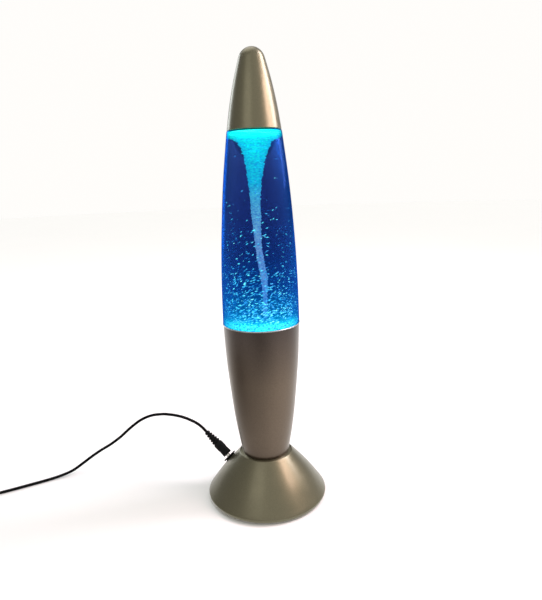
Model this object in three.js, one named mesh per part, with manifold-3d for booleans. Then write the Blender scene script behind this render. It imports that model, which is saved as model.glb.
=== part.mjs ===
// A rocket-shaped vortex glitter lamp: a clear bottle of liquid stands in a tapered metal body on a flared
// base, under a pull-off nose cap. A motor in the body turns a stirrer in the bottle through magnets.
// Millimetres, +Z up. The origin is on the standing surface, in the middle of the base.
import * as THREE from "three";
import { mergeVertices } from "three/addons/utils/BufferGeometryUtils.js";
import Module from "manifold-3d";

const wasm = await Module();
wasm.setup();

// Driving dimensions.
const lampHeight = 400;
const footHeight = 1.8;
const lipBottom = 1.5;
const baseTop = 47.8;
const casingTop = 177.7;
const capRim = 339.4;
const wall = 2;
const bottleWall = 2.2;
const touchGap = 0.3;

// Outer radii at even steps of height, bottom to top.
const casingRadii = [22.6, 27.7, 31, 33.5, 34.6];
const bottleRadii = [34.8, 33.8, 31.5, 27.9, 22.7];

// The nose of the cap: side stations as [fraction of its height, radius], then a spherical tip.
const capSide = [[0, 22.5], [0.3, 19.4], [0.6, 15.3]];
const noseRadius = 11;
const noseStart = 17;
const capWall = 1.8;

// The flared base: the rim is widest just above the lip, the cone swells slightly on its way up, and
// a sloping shoulder runs in to the foot of the body.
const rimRadius = 58.6;
const baseFlank = [[rimRadius, 5.2], [57, 8.2], [44, 26.2], [27.2, 45.8]];
const shoulder = [[25.3, 46.9], [22.7, baseTop]];
const plinthHole = 8.2;

// Seat of the bottle and of the drive under it, by height.
const bottleFoot = 155.3;
const insertRadius = 30.8;
const bottleFloor = 157.8;
const boardBottom = 149;
const bracketBottom = 136;

// Air funnel of the vortex in the liquid, as [radius, height] from its mouth down.
const funnelMouth = 18.4;
const funnelSide = [[12, 327], [8.6, 315], [5.4, 295], [3.8, 250], [2.2, 196], [0, 183]];

// Stirrer, and the drive under it: heights, and the circles that their small pieces stand on.
const stirrerBottom = bottleFloor + 0.8;
const magnetCircle = 9;
const magnetSites = [[magnetCircle, 0], [-magnetCircle, 0]];
const carrierBottom = 148.6;
const carrierTop = 153.2;
const motorBottom = 110;
const motorScrewSites = [-8.5, 8.5];
const ledCircle = 22.5;
const ledCount = 6;

const roundSteps = 28;
const smallSteps = 14;
const pinSteps = 8;

// Where the jack and the button go through the base: angle seen from above, measured from -X
// towards +Y for the jack, and straight back along +Y for the button.
const socketHeight = 30;
const socketRadius = 40.8;
const jackTurn = THREE.MathUtils.degToRad(26);
const jackRise = THREE.MathUtils.degToRad(41);
const buttonRise = THREE.MathUtils.degToRad(37.7);
const jackOut = new THREE.Vector3(
  -Math.cos(jackTurn) * Math.cos(jackRise),
  Math.sin(jackTurn) * Math.cos(jackRise),
  Math.sin(jackRise),
);
const buttonOut = new THREE.Vector3(0, Math.cos(buttonRise), Math.sin(buttonRise));

// Jack and plug, measured outwards along the jack's axis from the base's skin.
const jackBoreFloor = -9;
const flangeUnder = 0.8;
const flangeTop = 2.2;
const plugFace = 4.4;
const plugGripRadius = 4.8;
const plugGripLength = 15.6;
const plugTail = 36.3;

// Holes for the two barrels, and the fixings of the bottom cover and the control board.
const barrelHole = 5.8;
const coverScrewCircle = 42;
const footCircle = 42;
const coverTop = 4;
const boardScrewSites = [[-12, -6], [12, -6]];

// The lead: 3 mm round, its turns wound flat in two layers of four.
const cordRadius = 1.5;
const coilCentre = new THREE.Vector2(-303, -24);
const coilInner = 11.2;
const coilOuter = 23.8;
const coilHeight = 6.4;
const farPlugHeight = 8;

// Route of the lead's free stretch after the plug's tail, chosen to arch over and land softly.
const cordRoute = [
  [-70.5, 34.8, 61],
  [-77, 38, 63.4],
  [-85, 41.5, 65.5],
  [-93, 44, 66.9],
  [-101, 46.3, 67.4],
  [-109, 48, 67.4],
  [-121.5, 50.5, 65.1],
  [-133.6, 52.5, 59.5],
  [-146, 54, 50.2],
  [-158.6, 55, 39],
  [-170.7, 55, 30.3],
  [-182.6, 54, 23.6],
  [-193, 52, 17.2],
  [-203, 49, 10.8],
  [-213, 45, 5.2],
  [-224, 40, 2.5],
  [-236, 33.5, 1.7],
  [-250, 26, 1.6],
  [-265, 18, 1.6],
  [-280, 10.5, 1.6],
  [-291, 5.7, 1.6],
  [-301, 1.5, 1.6],
];

const finishes = {
  champagne: { color: 0x8f8468, roughness: 0.34, metalness: 0.85 },
  clear: { color: 0xcfe4ff, roughness: 0.05, metalness: 0, transparent: true, opacity: 0.3 },
  liquid: { color: 0x1450e0, roughness: 0.1, metalness: 0, transparent: true, opacity: 0.6 },
  blackPlastic: { color: 0x111113, roughness: 0.45, metalness: 0 },
  whitePlastic: { color: 0xe6e6e2, roughness: 0.5, metalness: 0 },
  rubber: { color: 0x17171a, roughness: 0.8, metalness: 0 },
  steel: { color: 0xa9abad, roughness: 0.3, metalness: 1 },
  nickel: { color: 0xc9c7c0, roughness: 0.2, metalness: 1 },
  brass: { color: 0xb99a55, roughness: 0.3, metalness: 1 },
  board: { color: 0x1f5a34, roughness: 0.5, metalness: 0 },
  lens: { color: 0x9fd8ff, roughness: 0.1, metalness: 0 },
};

const lamp = new THREE.Group();

function addPart(name, geometry, finish, parent = lamp) {
  const mesh = new THREE.Mesh(geometry, new THREE.MeshStandardMaterial(finishes[finish]));
  mesh.name = name;
  parent.add(mesh);
  return mesh;
}

// Turns an outline of [radius, height] about Z. The outline runs anticlockwise: out along the bottom,
// up the outside and back at the top. One that starts off the axis is closed into a ring.
function revolve(outline, steps = smallSteps) {
  const points = outline.map(([radius, height]) => new THREE.Vector2(radius, height));
  if (points[0].x > 0) points.push(points[0].clone());
  return new THREE.LatheGeometry(points, steps).rotateX(Math.PI / 2);
}

function disc(radius, low, high, steps = smallSteps) {
  return revolve([[0, low], [radius, low], [radius, high], [0, high]], steps);
}

function ring(inner, outer, low, high, steps = smallSteps) {
  return revolve([[inner, low], [outer, low], [outer, high], [inner, high]], steps);
}

function hexNut(acrossFlats, bore, low, high) {
  const corner = acrossFlats / Math.sqrt(3);
  const outline = new THREE.Shape();
  for (let side = 0; side < 6; side += 1) {
    const angle = (side * Math.PI) / 3;
    const [x, y] = [corner * Math.cos(angle), corner * Math.sin(angle)];
    if (side === 0) outline.moveTo(x, y);
    else outline.lineTo(x, y);
  }
  outline.holes.push(new THREE.Path().absarc(0, 0, bore, 0, 2 * Math.PI, true));
  const settings = { depth: high - low, bevelEnabled: false, curveSegments: 8 };
  return new THREE.ExtrudeGeometry(outline, settings).translate(0, 0, low);
}

// Solids for joining and cutting.
function solidOf(geometry) {
  const bare = geometry.clone();
  bare.deleteAttribute("normal");
  bare.deleteAttribute("uv");
  const merged = mergeVertices(bare, 1e-3);
  const vertProperties = merged.getAttribute("position").array;
  const triVerts = new Uint32Array(merged.index.array);
  return new wasm.Manifold(new wasm.Mesh({ numProp: 3, vertProperties, triVerts }));
}

function geometryOf(solid) {
  const mesh = solid.getMesh();
  const geometry = new THREE.BufferGeometry();
  geometry.setAttribute("position", new THREE.BufferAttribute(mesh.vertProperties, 3));
  geometry.setIndex(new THREE.BufferAttribute(mesh.triVerts, 1));
  geometry.computeVertexNormals();
  return geometry;
}

function cut(geometry, tools) {
  return geometryOf(tools.reduce((solid, tool) => solid.subtract(solidOf(tool)), solidOf(geometry)));
}

function join(geometry, others) {
  return geometryOf(others.reduce((solid, other) => solid.add(solidOf(other)), solidOf(geometry)));
}

function polar(radius, degrees) {
  const angle = THREE.MathUtils.degToRad(degrees);
  return [radius * Math.cos(angle), radius * Math.sin(angle)];
}

// A smooth outline through radii given at even steps from low to high, as [radius, height] points.
function sweepUp(radii, low, high, count, inset = 0) {
  const rise = (high - low) / (radii.length - 1);
  const stations = radii.map((radius, i) => new THREE.Vector2(radius - inset, low + i * rise));
  return new THREE.SplineCurve(stations).getPoints(count).map((p) => [p.x, p.y]);
}

function arc(centreRadius, centreHeight, radius, fromDegrees, toDegrees, count) {
  return Array.from({ length: count + 1 }, (_, i) => {
    const [x, y] = polar(radius, fromDegrees + ((toDegrees - fromDegrees) * i) / count);
    return [centreRadius + x, centreHeight + y];
  });
}

// A group whose own +Z points along out, with its origin on the base's skin.
function socketGroup(out, xDirection, yDirection) {
  const group = new THREE.Group();
  group.position.set(socketRadius * xDirection, socketRadius * yDirection, socketHeight);
  group.quaternion.setFromUnitVectors(new THREE.Vector3(0, 0, 1), out);
  group.updateMatrixWorld(true);
  lamp.add(group);
  return group;
}

const jackGroup = socketGroup(jackOut, -Math.cos(jackTurn), Math.sin(jackTurn));
const buttonGroup = socketGroup(buttonOut, 0, 1);

// Flared base shell with its four screw posts, open underneath.
function baseShell() {
  const flank = new THREE.SplineCurve(baseFlank.map(([r, z]) => new THREE.Vector2(r, z)));
  const outside = flank.getPoints(5).map((p) => [p.x, p.y]);
  const shell = revolve([
    [54.4, lipBottom],
    [56.6, lipBottom],
    [58, 2.6],
    ...outside,
    ...shoulder,
    [plinthHole, baseTop],
    [plinthHole, baseTop - wall],
    [23.6, baseTop - wall],
    [41.1, 26],
    [54.2, 8.4],
  ], roundSteps);
  const posts = [];
  const holes = [
    disc(barrelHole, -8, 8).applyMatrix4(jackGroup.matrixWorld),
    disc(barrelHole, -8, 8).applyMatrix4(buttonGroup.matrixWorld),
  ];
  for (let i = 0; i < 4; i += 1) {
    const [x, y] = polar(coverScrewCircle, 30 + 90 * i);
    posts.push(disc(3.6, coverTop, 22, pinSteps).translate(x, y, 0));
    holes.push(disc(1.25, 0, 15, pinSteps).translate(x, y, 0));
  }
  return cut(join(shell, posts), holes);
}

function bottomCover() {
  const plate = disc(53.6, footHeight, coverTop, roundSteps);
  const studs = boardScrewSites.map(([x, y]) => disc(3, footHeight, 10, pinSteps).translate(x, y, 0));
  const holes = boardScrewSites.map(([x, y]) => disc(0.95, 5, 12, pinSteps).translate(x, y, 0));
  for (let i = 0; i < 4; i += 1) {
    const [x, y] = polar(coverScrewCircle, 30 + 90 * i);
    holes.push(disc(1.6, 0, 6, pinSteps).translate(x, y, 0));
  }
  return cut(join(plate, studs), holes);
}

// A pan-head screw with the underside of its head at height 0 and its shank below.
function screw(headRadius, headHeight, shankRadius, length) {
  return revolve([
    [0, -length],
    [shankRadius, 0.6 - length],
    [shankRadius, 0],
    [headRadius, 0],
    [headRadius, headHeight * 0.6],
    [headRadius * 0.7, headHeight],
    [0, headHeight],
  ], pinSteps);
}

// Tapered cup with a floor, a ledge for the motor bracket and an open top.
function bodyCasing() {
  const outside = sweepUp(casingRadii, baseTop, casingTop, 6);
  const inside = sweepUp(casingRadii, baseTop, casingTop, 6, wall).reverse();
  const ledgeTop = bracketBottom;
  const above = inside.filter(([, z]) => z > ledgeTop + 1);
  const below = inside.filter(([, z]) => z < ledgeTop - 7 && z > baseTop + 4);
  return revolve([
    [plinthHole, baseTop],
    [outside[0][0] - 0.5, baseTop],
    [outside[0][0], baseTop + 0.5],
    ...outside.slice(1),
    ...above,
    [30.4, ledgeTop],
    [27.6, ledgeTop],
    [27.6, ledgeTop - 2],
    [30, ledgeTop - 6],
    ...below,
    [20.4, baseTop + 2.8],
    [plinthHole, baseTop + 2.8],
  ], roundSteps);
}

// Clear bottle: a straight foot that drops into the body, a step that rests on its rim, a long taper
// and a short neck under the cap.
function bottle() {
  const outside = sweepUp(bottleRadii, casingTop, capRim, 7);
  const inside = sweepUp(bottleRadii, casingTop, capRim, 7, bottleWall).reverse();
  const bore = inside.filter(([, z]) => z > casingTop + 5 && z < capRim - 4);
  return revolve([
    [0, bottleFoot],
    [insertRadius - 2, bottleFoot],
    [insertRadius, bottleFoot + 2],
    [insertRadius, casingTop],
    ...outside,
    [20.1, capRim],
    [19.2, capRim + 4],
    [15.4, capRim + 9],
    [11, capRim + 12],
    [11, capRim + 22.6],
    [8.6, capRim + 22.6],
    [8.6, capRim + 11],
    [13.2, capRim + 7.6],
    [17.1, capRim + 3],
    [17.9, capRim - 0.8],
    [20.7, capRim - 2.8],
    ...bore,
    [bottleRadii[0] - bottleWall - 0.2, casingTop + 4.5],
    [insertRadius - bottleWall, casingTop + 1],
    [insertRadius - bottleWall, bottleFloor + 1],
    [insertRadius - bottleWall - 1.2, bottleFloor],
    [0, bottleFloor],
  ], roundSteps);
}

// Liquid with the air funnel of the vortex in its top and a swirl space round the stirrer.
function liquid() {
  const gap = bottleWall + touchGap;
  const surface = capRim - 3.4;
  const outside = sweepUp(bottleRadii, casingTop, capRim, 7, gap);
  const swirlRadius = 18;
  const swirlTop = 172;
  const footRadius = insertRadius - gap - 1.4;
  return revolve([
    [0, swirlTop],
    [swirlRadius, swirlTop],
    [swirlRadius, bottleFloor + touchGap],
    [footRadius, bottleFloor + touchGap],
    [footRadius, casingTop],
    [bottleRadii[0] - gap - 0.4, casingTop + 5.8],
    ...outside.slice(1, -1),
    [20.4, surface],
    [funnelMouth, surface],
    ...funnelSide,
  ], roundSteps);
}

function bottleCap() {
  const neckTop = capRim + 22.6;
  return revolve([
    [11.5, neckTop - 9],
    [13, neckTop - 9],
    [13, neckTop + 2],
    [12.2, neckTop + 2.8],
    [0, neckTop + 2.8],
    [0, neckTop + 1.2],
    [11.5, neckTop + 1.2],
  ], 20);
}

// Rocket nose: a thin cone with a round tip, open below.
function noseCap() {
  const rise = lampHeight - capRim;
  const centre = lampHeight - noseRadius;
  const tip = arc(0, centre, noseRadius, noseStart, 90, 4);
  const hollow = arc(0, centre, noseRadius - capWall, 90, noseStart, 3);
  const stations = [...capSide.map(([part, radius]) => [radius, capRim + part * rise]), tip[0]];
  const side = new THREE.SplineCurve(stations.map(([r, z]) => new THREE.Vector2(r, z)));
  const outside = side.getPoints(5).map((p) => [p.x, p.y]);
  const inside = outside.slice(0, -1).map(([r, z]) => [r - capWall, z]).reverse();
  const outline = [inside.at(-1), ...outside, ...tip.slice(1), ...hollow, ...inside.slice(0, -1)];
  return revolve(outline, roundSteps);
}

// Stirrer: a disc with six vanes on a short axle, with pockets below for two magnets.
function stirrer() {
  const low = stirrerBottom;
  const body = revolve([
    [1.65, low],
    [14, low],
    [14, low + 4],
    [4, low + 4],
    [3.4, low + 9.5],
    [1.65, low + 9.5],
  ], 20);
  const vanes = [];
  for (let i = 0; i < 6; i += 1) {
    const vane = new THREE.BoxGeometry(9.6, 1.2, 5).translate(8.4, 0, low + 6);
    vanes.push(vane.rotateZ((i * Math.PI) / 3));
  }
  return cut(join(body, vanes), magnetPockets(low - 1, low + 3.2));
}

function magnetPockets(low, high) {
  return magnetSites.map(([x, y]) => disc(3.3, low, high, 12).translate(x, y, 0));
}

function stirrerAxle() {
  const top = stirrerBottom + 9.5;
  return revolve([
    [0, bottleFloor],
    [1.5, bottleFloor],
    [1.5, top + 0.3],
    [2.6, top + 0.3],
    [2.2, top + 1.4],
    [0, top + 1.7],
  ], 12);
}

// Drive under the bottle: bracket, motor, carrier with magnets, and the ring of lights.
function motorBracket() {
  const plateTop = bracketBottom + 2.5;
  const body = revolve([
    [5.3, bracketBottom],
    [30, bracketBottom],
    [30.2, boardBottom],
    [28.4, boardBottom],
    [28.2, plateTop],
    [5.3, plateTop],
  ], 24);
  const holes = motorScrewSites.map((x) => disc(1.45, 130, 145, pinSteps).translate(x, 0, 0));
  holes.push(disc(4, 130, 145, 12).translate(0, 20, 0));
  return cut(body, holes);
}

function motorCan() {
  const body = revolve([
    [1.15, motorBottom],
    [4, motorBottom],
    [4, motorBottom + 2],
    [11, motorBottom + 2],
    [12, motorBottom + 3],
    [12, bracketBottom],
    [5, bracketBottom],
    [5, bracketBottom + 2.4],
    [1.15, bracketBottom + 2.4],
  ], 20);
  const hole = disc(1.25, bracketBottom - 5, bracketBottom + 1, pinSteps);
  return cut(body, motorScrewSites.map((x) => hole.clone().translate(x, 0, 0)));
}

function magnetCarrier() {
  const body = revolve([
    [1.05, carrierBottom - 4],
    [4, carrierBottom - 4],
    [4, carrierBottom],
    [14, carrierBottom],
    [14, carrierTop],
    [1.05, carrierTop],
  ], 20);
  return cut(body, magnetPockets(carrierBottom + 1.2, carrierTop + 1));
}

function led() {
  return revolve([[0, 0], [2.5, 0], [2.5, 1], [1.9, 1], [1.9, 2.4], [1.4, 3.3], [0, 3.8]], pinSteps);
}

// Control board: the plate with a chip, a coil, a capacitor and the lead-out block soldered on.
function controlBoard() {
  const plate = new THREE.BoxGeometry(34, 22, 1.6).translate(0, -6, 10.8);
  const top = 11.6;
  const pieces = [
    new THREE.BoxGeometry(6, 5, 1.8).translate(-3, -9, top + 0.8),
    new THREE.BoxGeometry(5, 7, 4).translate(12.5, 1, top + 1.9),
    disc(2.8, top - 0.2, top + 6, 12).translate(5.5, -11, 0),
    disc(2.2, top - 0.2, top + 4, 12).translate(4.5, -2.5, 0),
  ];
  const holes = boardScrewSites.map(([x, y]) => disc(1.3, 8, 14, pinSteps).translate(x, y, 0));
  return cut(join(plate, pieces), holes);
}

function sweepTube(points, radius, sides, steps) {
  const stations = points.map(([x, y, z]) => new THREE.Vector3(x, y, z));
  const route = new THREE.CatmullRomCurve3(stations, false, "centripetal");
  const section = new THREE.Shape();
  for (let side = 0; side < sides; side += 1) {
    const [x, y] = polar(radius, (360 * (side + 0.5)) / sides);
    if (side === 0) section.moveTo(x, y);
    else section.lineTo(x, y);
  }
  const settings = { steps, extrudePath: route, bevelEnabled: false, curveSegments: 1 };
  return new THREE.ExtrudeGeometry(section, settings);
}

// Cable from the board up through the tie tube, past the motor and through the bracket to the lights.
function loom() {
  return sweepTube([
    [-8, 0, 13.2],
    [-7, 0, 18],
    [-2, 0, 28],
    [0, 0, 40],
    [0, 0, 62],
    [2, 6, 84],
    [3, 16, 106],
    [1, 19.6, 124],
    [0, 20, 136],
    [0, 20, boardBottom - touchGap],
  ], 1.4, 6, 20);
}

// Jack, seen along its own axis: flange outside the skin, threaded barrel and blind bore inside.
function jackBody() {
  return revolve([
    [0, -12],
    [5.4, -12],
    [5.4, flangeUnder],
    [7.3, flangeUnder],
    [7.3, 1.8],
    [6.9, flangeTop],
    [3.1, flangeTop],
    [3.1, jackBoreFloor],
    [0, jackBoreFloor],
  ]);
}

function jackPin() {
  const low = jackBoreFloor + touchGap;
  return revolve([[0, low], [1, low], [1, -0.5], [0.5, 0.2], [0, 0.3]], pinSteps);
}

// Plug on the lead: a tube contact, a moulded grip and a ribbed tail that tapers to the cord.
function plugBarrel() {
  return ring(1.35, 2.75, -7.6, plugFace + 3.6, 12);
}

function plugGrip() {
  const ribs = [];
  const ribCount = 5;
  const ribStart = plugFace + plugGripLength + 0.2;
  const pitch = (plugTail - 1 - ribStart) / ribCount;
  for (let i = 0; i < ribCount; i += 1) {
    const radius = 4.5 - 0.4 * i;
    const low = ribStart + i * pitch;
    ribs.push([radius - 0.8, low], [radius - 0.8, low + 0.35 * pitch], [radius, low + 0.45 * pitch]);
    ribs.push([radius - 0.1, low + 0.95 * pitch]);
  }
  return revolve([
    [3.05, plugFace],
    [plugGripRadius - 0.4, plugFace],
    [plugGripRadius, plugFace + 0.6],
    [plugGripRadius, plugFace + plugGripLength - 1],
    [plugGripRadius - 0.6, plugFace + plugGripLength],
    ...ribs,
    [2.1, plugTail],
    [0, plugTail],
    [0, plugFace + 4],
    [3.05, plugFace + 4],
  ], 12);
}

function switchBody() {
  return revolve([
    [0, -13],
    [5.4, -13],
    [5.4, flangeUnder],
    [7.2, flangeUnder],
    [7.2, 1.6],
    [6.6, 2.3],
    [3.9, 2.3],
    [3.9, -5],
    [0, -5],
  ]);
}

function pushButton() {
  return revolve([[0, -2.6], [3.6, -2.6], [3.6, 3.4], [3.2, 3.9], [0, 4.1]]);
}

// The lead: a free stretch, its coil as one ring, and a flat rectangular plug on its far end.
function freeCord() {
  const start = jackGroup.localToWorld(new THREE.Vector3(0, 0, plugTail + touchGap));
  const straight = jackGroup.localToWorld(new THREE.Vector3(0, 0, plugTail + 6));
  return sweepTube([start.toArray(), straight.toArray(), ...cordRoute], cordRadius, 8, 40);
}

function farPlugGrip() {
  const outline = new THREE.Shape();
  outline.moveTo(-3.2, 0);
  const right = [[3.2, 0], [6.6, -4.5], [7.4, -6], [7.4, -23]];
  const left = right.slice(1).map(([x, y]) => [-x, y]).reverse();
  for (const [x, y] of [...right, ...left]) outline.lineTo(x, y);
  return new THREE.ExtrudeGeometry(outline, { depth: farPlugHeight, bevelEnabled: false });
}

// Assembly.
addPart("base_shell", baseShell(), "champagne");
addPart("bottom_cover", bottomCover(), "blackPlastic");
for (let i = 0; i < 4; i += 1) {
  const [x, y] = polar(coverScrewCircle, 30 + 90 * i);
  const coverScrew = screw(2.7, 1.1, 1.1, 12).rotateX(Math.PI);
  addPart(`cover_screw_${i + 1}`, coverScrew, "steel").position.set(x, y, footHeight);
  const [footX, footY] = polar(footCircle, 75 + 90 * i);
  addPart(`foot_${i + 1}`, disc(6, 0, footHeight, 12), "rubber").position.set(footX, footY, 0);
}
addPart("control_board", controlBoard(), "board");
for (const [i, [x, y]] of boardScrewSites.entries()) {
  addPart(`board_screw_${i + 1}`, screw(2, 1.3, 0.85, 6), "steel").position.set(x, y, 11.6);
}

addPart("tie_tube", ring(5.6, 7.8, 37, 60, 24), "steel");
addPart("tie_nut_lower", hexNut(20, 8.1, 40.8, baseTop - wall), "steel");
addPart("tie_washer", ring(8, 13, baseTop + 2.8, baseTop + 4, 24), "steel");
addPart("tie_nut_upper", hexNut(20, 8.1, baseTop + 4, baseTop + 9), "steel");
addPart("body_casing", bodyCasing(), "champagne");
addPart("loom", loom(), "blackPlastic");

addPart("motor_bracket", motorBracket(), "whitePlastic");
addPart("motor_can", motorCan(), "steel");
for (const [i, x] of motorScrewSites.entries()) {
  addPart(`motor_screw_${i + 1}`, screw(2.3, 1.2, 1.1, 6), "steel").position.set(x, 0, bracketBottom + 2.5);
}
addPart("motor_shaft", disc(1, motorBottom - 1, carrierTop - 1, 12), "steel");
addPart("magnet_carrier", magnetCarrier(), "blackPlastic");
for (const [i, [x, y]] of magnetSites.entries()) {
  const drive = disc(3, carrierBottom + 1.2, carrierTop - 0.2, 12);
  addPart(`drive_magnet_${i + 1}`, drive, "nickel").position.set(x, y, 0);
  const low = stirrerBottom + 0.2;
  addPart(`stirrer_magnet_${i + 1}`, disc(3, low, low + 3, 12), "nickel").position.set(x, y, 0);
}
addPart("led_board", ring(16, 30, boardBottom, boardBottom + 1.6, 24), "board");
for (let i = 0; i < ledCount; i += 1) {
  const [x, y] = polar(ledCircle, (360 * i) / ledCount);
  addPart(`led_${i + 1}`, led(), "lens").position.set(x, y, boardBottom + 1.6);
}
addPart("bottle_seat", ring(27.4, 30.3, boardBottom + 1.6, bottleFoot, 24), "rubber");

addPart("bottle", bottle(), "clear");
addPart("liquid", liquid(), "liquid");
addPart("stirrer_axle", stirrerAxle(), "steel");
addPart("stirrer", stirrer(), "whitePlastic");
addPart("bottle_gasket", disc(10.8, capRim + 22.6, capRim + 23.8), "rubber");
addPart("bottle_cap", bottleCap(), "whitePlastic");
addPart("nose_cap", noseCap(), "champagne");

addPart("dc_jack", jackBody(), "blackPlastic", jackGroup);
addPart("dc_jack_pin", jackPin(), "brass", jackGroup);
addPart("dc_jack_nut", hexNut(13, 5.75, -6, -3.3), "nickel", jackGroup);
addPart("dc_plug_barrel", plugBarrel(), "nickel", jackGroup);
addPart("dc_plug_grip", plugGrip(), "rubber", jackGroup);

addPart("switch_body", switchBody(), "blackPlastic", buttonGroup);
addPart("switch_nut", hexNut(13, 5.75, -6, -3.3), "nickel", buttonGroup);
addPart("power_button", pushButton(), "blackPlastic", buttonGroup);

addPart("cord", freeCord(), "rubber");
const coil = ring(coilInner, coilOuter, 0, coilHeight, 24);
addPart("cord_coil", coil, "rubber").position.set(coilCentre.x, coilCentre.y, 0);
const farPlug = new THREE.Group();
farPlug.position.set(coilCentre.x - coilOuter + cordRadius, coilCentre.y - 16, 0);
lamp.add(farPlug);
addPart("usb_plug_grip", farPlugGrip(), "rubber", farPlug);
const farShell = new THREE.BoxGeometry(12, 18.5, 4.5).translate(0, -23 - 9.25 - touchGap, 4);
addPart("usb_plug_shell", farShell, "nickel", farPlug);

export default lamp;
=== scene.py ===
"""A rocket-shaped vortex glitter lamp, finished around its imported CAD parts. Metres, +Z up."""

import math
import random

import bpy
from mathutils import Matrix, Vector, noise


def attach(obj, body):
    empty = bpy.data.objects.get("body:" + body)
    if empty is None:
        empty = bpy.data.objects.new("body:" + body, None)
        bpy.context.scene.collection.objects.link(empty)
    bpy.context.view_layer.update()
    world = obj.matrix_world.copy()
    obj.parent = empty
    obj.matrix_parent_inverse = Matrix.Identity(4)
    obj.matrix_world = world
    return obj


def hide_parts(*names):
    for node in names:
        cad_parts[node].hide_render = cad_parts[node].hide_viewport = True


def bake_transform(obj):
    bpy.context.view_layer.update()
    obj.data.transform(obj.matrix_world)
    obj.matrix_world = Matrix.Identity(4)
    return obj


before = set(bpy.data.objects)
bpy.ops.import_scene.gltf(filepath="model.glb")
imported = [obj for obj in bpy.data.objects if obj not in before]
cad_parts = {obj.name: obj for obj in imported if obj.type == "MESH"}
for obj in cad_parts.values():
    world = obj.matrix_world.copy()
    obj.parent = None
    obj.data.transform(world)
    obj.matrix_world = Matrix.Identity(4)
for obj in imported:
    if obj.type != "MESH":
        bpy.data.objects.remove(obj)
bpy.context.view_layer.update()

# The lamp's main heights and radii, as in the CAD part.
LAMP_HEIGHT = 0.4
FOOT_HEIGHT = 0.0018
BASE_TOP = 0.0478
CASING_TOP = 0.1777
CAP_RIM = 0.3394
WALL = 0.002
CASING_RADII = (0.0226, 0.0277, 0.031, 0.0335, 0.0346)
BOTTLE_RADII = (0.0348, 0.0338, 0.0315, 0.0279, 0.0227)
CAP_SIDE = ((0, 0.0225), (0.3, 0.0194), (0.6, 0.0153))
NOSE_RADIUS = 0.011
CAP_WALL = 0.0018
BASE_CONE = ((0.0586, 0.0052), (0.057, 0.0082), (0.044, 0.0262), (0.0272, 0.0458))
SHOULDER = ((0.0253, 0.0469), (0.0227, 0.0478))
PLINTH_HOLE = 0.0082
BOTTLE_FOOT = 0.1553
INSERT_RADIUS = 0.0308
BRACKET_BOTTOM = 0.136
SURFACE = 0.3384
TAPER_TOP = CAP_RIM - 0.0004
NECK_TOP = CAP_RIM + 0.0226
SCREW_CIRCLE = 0.042
LED_CIRCLE = 0.0225
LED_SEAT = 0.1506

# Jack and button: places on the base's skin and the ways they point.
SOCKET_RADIUS = 0.0408
SOCKET_HEIGHT = 0.03
SOCKET_BORE = 0.0058
JACK_TURN = math.radians(26)
JACK_RISE = math.radians(41)
BUTTON_RISE = math.radians(37.7)
PLUG_FACE = 0.0044
PLUG_TAIL = 0.0363
GRIP_RADIUS = 0.0048
GRIP_LENGTH = 0.0156

# The lead: its free stretch after the plug's tail, then a flat coil of two layers.
CORD_RADIUS = 0.0015
CORD_STEP = 0.0025
CORD_ROUTE = (
    (-0.0705, 0.0348, 0.061),
    (-0.077, 0.038, 0.0634),
    (-0.085, 0.0415, 0.0655),
    (-0.093, 0.044, 0.0669),
    (-0.101, 0.0463, 0.0674),
    (-0.109, 0.048, 0.0674),
    (-0.1215, 0.0505, 0.0651),
    (-0.1336, 0.0525, 0.0595),
    (-0.146, 0.054, 0.0502),
    (-0.1586, 0.055, 0.039),
    (-0.1707, 0.055, 0.0303),
    (-0.1826, 0.054, 0.0236),
    (-0.193, 0.052, 0.0172),
    (-0.203, 0.049, 0.0108),
    (-0.213, 0.045, 0.0052),
    (-0.224, 0.04, 0.0025),
    (-0.236, 0.0335, 0.0017),
    (-0.25, 0.026, 0.0016),
    (-0.265, 0.018, 0.0016),
    (-0.28, 0.0105, 0.0016),
    (-0.291, 0.0057, 0.0016),
    (-0.301, 0.0015, 0.0016),
)
COIL_CENTRE = Vector((-0.303, -0.024))
COIL_OUTER = 0.022
COIL_PITCH = 0.00305
COIL_TURNS = 3
COIL_START = math.radians(116.6)
COIL_LOW = 0.0015
COIL_HIGH = 0.0045
USB_PLACE = Vector((-0.3253, -0.04, 0.004))
USB_BEND = Vector((USB_PLACE.x, -0.032, 0.0043))

# The vortex, as (height, radius, sway to the right).
VORTEX = (
    (0.1775, 0.0012, 0.003),
    (0.185, 0.0014, 0.0031),
    (0.196, 0.0016, 0.0031),
    (0.208, 0.0018, 0.0033),
    (0.221, 0.0025, 0.0028),
    (0.234, 0.0023, 0.0012),
    (0.246, 0.0023, 0.0002),
    (0.258, 0.0027, -0.0003),
    (0.27, 0.0032, -0.0006),
    (0.281, 0.0034, -0.0008),
    (0.292, 0.0038, -0.0008),
    (0.304, 0.005, -0.0006),
    (0.315, 0.0066, -0.0003),
    (0.3235, 0.0085, 0),
    (0.3295, 0.0112, 0),
    (0.3325, 0.015, 0),
    (0.3345, 0.0195, 0),
    (0.3365, 0.0215, 0),
    (0.338, 0.0219, 0),
)
VORTEX_LIT = (0.18, 0.337)

# The swarm of flakes, as (lowest, highest, how many), and half a flake's length, width and depth.
FLAKE_ZONES = (
    (0.1805, 0.19, 900),
    (0.19, 0.203, 900),
    (0.203, 0.226, 760),
    (0.226, 0.262, 300),
    (0.262, 0.285, 50),
    (0.285, 0.325, 10),
)
FLAKE_REACH = (0.0014, 0.00042, 0.00022)
FLAKE_INNER = 0.005

# Painted reflection: what the glossy paint mirrors of the floor is dimmer round these spots: (middle,
# radius, share lost).
DIM_SPOTS = (((-0.32, -0.08, 0), 0.38, 0.9), ((-0.05, -0.6, 0), 0.52, 0.9))
WARM_WHITE = (1.0, 0.985, 0.96, 1)


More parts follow.
